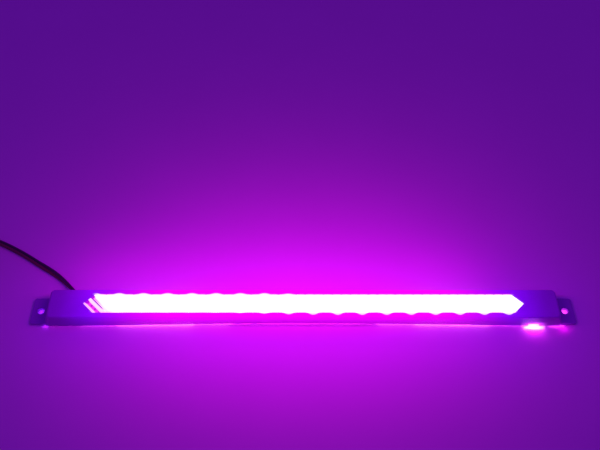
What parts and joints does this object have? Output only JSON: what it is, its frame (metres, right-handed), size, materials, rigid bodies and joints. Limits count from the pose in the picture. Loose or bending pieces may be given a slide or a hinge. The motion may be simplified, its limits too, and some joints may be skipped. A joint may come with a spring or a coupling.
{
  "type": "led grow light bar",
  "caption": "Slim LED grow light bar with end screw ears, a long pointed window with a ribbed diffuser, and a two-core lead with a barrel plug.",
  "frame": {"origin": "middle of the bar's footprint, on the surface that its ears stand on", "axes": "+X along the bar, away from the end where the lead comes out; +Y towards the side the lead comes out of; +Z the way the light shines"},
  "size_m": [0.488, 0.0829, 0.0115],
  "materials": {
    "housing": "satin moulded plastic, purple grey",
    "lens": "frosted ribbed diffuser, lit from behind",
    "carrier": "brushed strip",
    "screw_steel": "zinc plated",
    "tape": "foam tape",
    "board": "white solder mask",
    "led_white": "moulded white",
    "tinned_metal": "tinned",
    "red_resin": "clear resin over a red chip",
    "blue_resin": "clear resin over a blue chip",
    "resistor_black": "overglaze",
    "copper_pad": "bare copper",
    "solder": "bright solder",
    "black_insulation": "soft PVC",
    "red_insulation": "soft PVC",
    "bush_rubber": "matt rubber",
    "tie_plastic": "woven-look strap",
    "plug_plastic": "moulded PVC",
    "nickel": "nickel plated",
    "contact_brass": "bright"
  },
  "bodies": {
    "root": {"housing": "housing", "lens": "lens", "carrier": "carrier", "carrier_screws": "screw_steel", "board_tape": "tape", "led_board": "board", "led_packages": "led_white", "led_terminals": "tinned_metal", "red_emitters": "red_resin", "blue_emitters": "blue_resin", "resistors": "resistor_black", "solder_pads": "copper_pad", "solder_joints": "solder", "feed_core_black": "black_insulation", "feed_core_red": "red_insulation", "feed_conductors": "tinned_metal", "lead_bush": "bush_rubber", "cord": "black_insulation", "cord_coil": "black_insulation", "cord_tail": "black_insulation", "cord_tie": "tie_plastic", "plug_body": "plug_plastic", "plug_sleeve": "nickel", "plug_insulator": "plug_plastic", "plug_contact": "contact_brass"}
  },
  "joints": []
}
